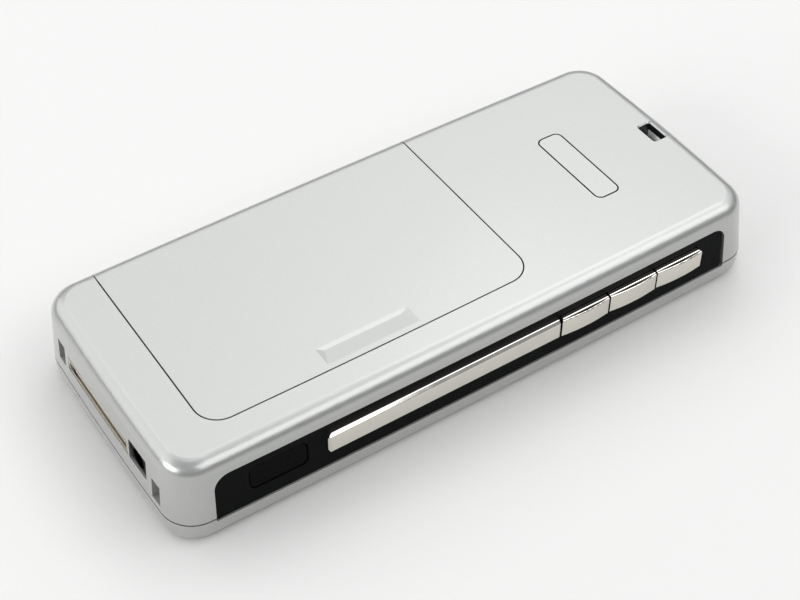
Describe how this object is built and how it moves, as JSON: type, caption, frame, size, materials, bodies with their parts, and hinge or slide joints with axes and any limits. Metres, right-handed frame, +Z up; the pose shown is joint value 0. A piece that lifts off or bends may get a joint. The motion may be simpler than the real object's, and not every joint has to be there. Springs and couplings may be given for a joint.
{
  "type": "mobile phone",
  "caption": "Bar-shaped mobile phone lying face down: silver back cover with a sliding battery door, black side panel with chromed side keys, and a keypad and display on the front.",
  "frame": {"origin": "centre of the footprint, on the surface that the face-down phone rests on", "axes": "+X to the earpiece end, -Y to the side with the keys, +Z up through the back"},
  "size_m": [0.1162, 0.0498, 0.0169],
  "materials": {
    "silver_paint": "satin silver paint on moulded plastic",
    "brushed_plate": "satin plate",
    "black_plastic": "fine matt",
    "dark_window": "dark infrared-clear plastic",
    "chrome_trim": "chromed plastic",
    "flex_film": "polyimide film",
    "nickel_shell": "nickel plated",
    "insulator": "moulded",
    "rubber_boot": "matt",
    "silicone": "translucent grey",
    "dome_steel": "domes on film",
    "window_glass": "hard-coated window",
    "foam_gasket": "foam",
    "display_face": "display stack",
    "steel_can": "drawn can",
    "grille_steel": "etched",
    "board_laminate": "solder resist",
    "tinned_steel": "tinned",
    "card_plastic": "printed card, bare",
    "card_black": "moulded",
    "chassis_plastic": "glass-filled plastic",
    "battery_wrap": "plain label film",
    "carrier_plastic": "moulded",
    "antenna_metal": "stamped",
    "mesh_cloth": "fine black mesh",
    "screw_steel": "zinc plated",
    "weight_tungsten": "sintered tungsten",
    "key_silver": "silver lacquer"
  },
  "bodies": {
    "casing": {"rear_cover": "silver_paint", "front_frame": "silver_paint", "badge_plate": "brushed_plate", "side_panel": "black_plastic", "infrared_window": "dark_window", "side_trim_bar": "chrome_trim", "side_switches": "flex_film", "power_switch": "black_plastic", "connector_shell": "nickel_shell", "connector_insert": "insulator", "charger_jack": "black_plastic", "microphone": "rubber_boot", "keymat": "silicone", "dome_sheet": "dome_steel", "display_glass": "window_glass", "display_gasket": "foam_gasket", "display_module": "display_face", "earpiece": "steel_can", "earpiece_grille": "grille_steel", "main_board": "board_laminate", "shield_cans": "tinned_steel", "sim_holder": "insulator", "sim_card": "card_plastic", "memory_reader": "insulator", "memory_card": "card_black", "chassis": "chassis_plastic", "battery": "battery_wrap", "battery_contacts": "insulator", "antenna_carrier": "carrier_plastic", "antenna": "antenna_metal", "loudspeaker": "steel_can", "speaker_mesh": "mesh_cloth", "vibra_motor": "steel_can", "case_screws": "screw_steel"},
    "battery_door": {"battery_door": "silver_paint"},
    "voice_key": {"voice_key": "chrome_trim"},
    "volume_down_key": {"volume_down_key": "chrome_trim"},
    "volume_up_key": {"volume_up_key": "chrome_trim"},
    "power_key": {"power_key": "key_silver"},
    "key_1": {"key_1": "key_silver"},
    "key_2": {"key_2": "key_silver"},
    "key_3": {"key_3": "key_silver"},
    "key_4": {"key_4": "key_silver"},
    "key_5": {"key_5": "key_silver"},
    "key_6": {"key_6": "key_silver"},
    "key_7": {"key_7": "key_silver"},
    "key_8": {"key_8": "key_silver"},
    "key_9": {"key_9": "key_silver"},
    "key_star": {"key_star": "key_silver"},
    "key_0": {"key_0": "key_silver"},
    "key_hash": {"key_hash": "key_silver"},
    "soft_key_left": {"soft_key_left": "key_silver"},
    "menu_key": {"menu_key": "key_silver"},
    "call_key": {"call_key": "key_silver"},
    "soft_key_right": {"soft_key_right": "key_silver"},
    "clear_key": {"clear_key": "key_silver"},
    "end_key": {"end_key": "key_silver"},
    "select_key": {"select_key": "key_silver"},
    "navigation_ring": {"navigation_ring": "chrome_trim"},
    "vibra_weight": {"vibra_weight": "weight_tungsten"}
  },
  "joints": [
    {"name": "battery_door_slide", "type": "slide", "parent": "casing", "child": "battery_door", "axis": [0, 1, 0], "range_m": [0, 0.043]},
    {"name": "voice_key_press", "type": "slide", "parent": "casing", "child": "voice_key", "axis": [0, 1, 0], "range_m": [0, 0.00035], "stiffness_N_per_m": 2000},
    {"name": "volume_down_key_press", "type": "slide", "parent": "casing", "child": "volume_down_key", "axis": [0, 1, 0], "range_m": [0, 0.00035], "stiffness_N_per_m": 2000},
    {"name": "volume_up_key_press", "type": "slide", "parent": "casing", "child": "volume_up_key", "axis": [0, 1, 0], "range_m": [0, 0.00035], "stiffness_N_per_m": 2000},
    {"name": "power_key_press", "type": "slide", "parent": "casing", "child": "power_key", "axis": [-1, 0, 0], "range_m": [0, 0.00035], "stiffness_N_per_m": 2000},
    {"name": "key_1_press", "type": "slide", "parent": "casing", "child": "key_1", "axis": [0, 0, 1], "range_m": [0, 0.00035], "stiffness_N_per_m": 2000},
    {"name": "key_2_press", "type": "slide", "parent": "casing", "child": "key_2", "axis": [0, 0, 1], "range_m": [0, 0.00035], "stiffness_N_per_m": 2000},
    {"name": "key_3_press", "type": "slide", "parent": "casing", "child": "key_3", "axis": [0, 0, 1], "range_m": [0, 0.00035], "stiffness_N_per_m": 2000},
    {"name": "key_4_press", "type": "slide", "parent": "casing", "child": "key_4", "axis": [0, 0, 1], "range_m": [0, 0.00035], "stiffness_N_per_m": 2000},
    {"name": "key_5_press", "type": "slide", "parent": "casing", "child": "key_5", "axis": [0, 0, 1], "range_m": [0, 0.00035], "stiffness_N_per_m": 2000},
    {"name": "key_6_press", "type": "slide", "parent": "casing", "child": "key_6", "axis": [0, 0, 1], "range_m": [0, 0.00035], "stiffness_N_per_m": 2000},
    {"name": "key_7_press", "type": "slide", "parent": "casing", "child": "key_7", "axis": [0, 0, 1], "range_m": [0, 0.00035], "stiffness_N_per_m": 2000},
    {"name": "key_8_press", "type": "slide", "parent": "casing", "child": "key_8", "axis": [0, 0, 1], "range_m": [0, 0.00035], "stiffness_N_per_m": 2000},
    {"name": "key_9_press", "type": "slide", "parent": "casing", "child": "key_9", "axis": [0, 0, 1], "range_m": [0, 0.00035], "stiffness_N_per_m": 2000},
    {"name": "key_star_press", "type": "slide", "parent": "casing", "child": "key_star", "axis": [0, 0, 1], "range_m": [0, 0.00035], "stiffness_N_per_m": 2000},
    {"name": "key_0_press", "type": "slide", "parent": "casing", "child": "key_0", "axis": [0, 0, 1], "range_m": [0, 0.00035], "stiffness_N_per_m": 2000},
    {"name": "key_hash_press", "type": "slide", "parent": "casing", "child": "key_hash", "axis": [0, 0, 1], "range_m": [0, 0.00035], "stiffness_N_per_m": 2000},
    {"name": "soft_key_left_press", "type": "slide", "parent": "casing", "child": "soft_key_left", "axis": [0, 0, 1], "range_m": [0, 0.00035], "stiffness_N_per_m": 2000},
    {"name": "menu_key_press", "type": "slide", "parent": "casing", "child": "menu_key", "axis": [0, 0, 1], "range_m": [0, 0.00035], "stiffness_N_per_m": 2000},
    {"name": "call_key_press", "type": "slide", "parent": "casing", "child": "call_key", "axis": [0, 0, 1], "range_m": [0, 0.00035], "stiffness_N_per_m": 2000},
    {"name": "soft_key_right_press", "type": "slide", "parent": "casing", "child": "soft_key_right", "axis": [0, 0, 1], "range_m": [0, 0.00035], "stiffness_N_per_m": 2000},
    {"name": "clear_key_press", "type": "slide", "parent": "casing", "child": "clear_key", "axis": [0, 0, 1], "range_m": [0, 0.00035], "stiffness_N_per_m": 2000},
    {"name": "end_key_press", "type": "slide", "parent": "casing", "child": "end_key", "axis": [0, 0, 1], "range_m": [0, 0.00035], "stiffness_N_per_m": 2000},
    {"name": "select_key_press", "type": "slide", "parent": "casing", "child": "select_key", "axis": [0, 0, 1], "range_m": [0, 0.0003], "stiffness_N_per_m": 2000},
    {"name": "navigation_ring_tilt", "type": "hinge", "parent": "casing", "child": "navigation_ring", "pos_m": [-0.0119, 0, 0.002], "axis": [0, 1, 0], "range_deg": [-3, 3], "stiffness_Nm_per_rad": 0.1},
    {"name": "vibra_weight_spin", "type": "hinge", "parent": "casing", "child": "vibra_weight", "pos_m": [0.034, -0.01002, 0.0116], "axis": [1, 0, 0], "continuous": true}
  ]
}
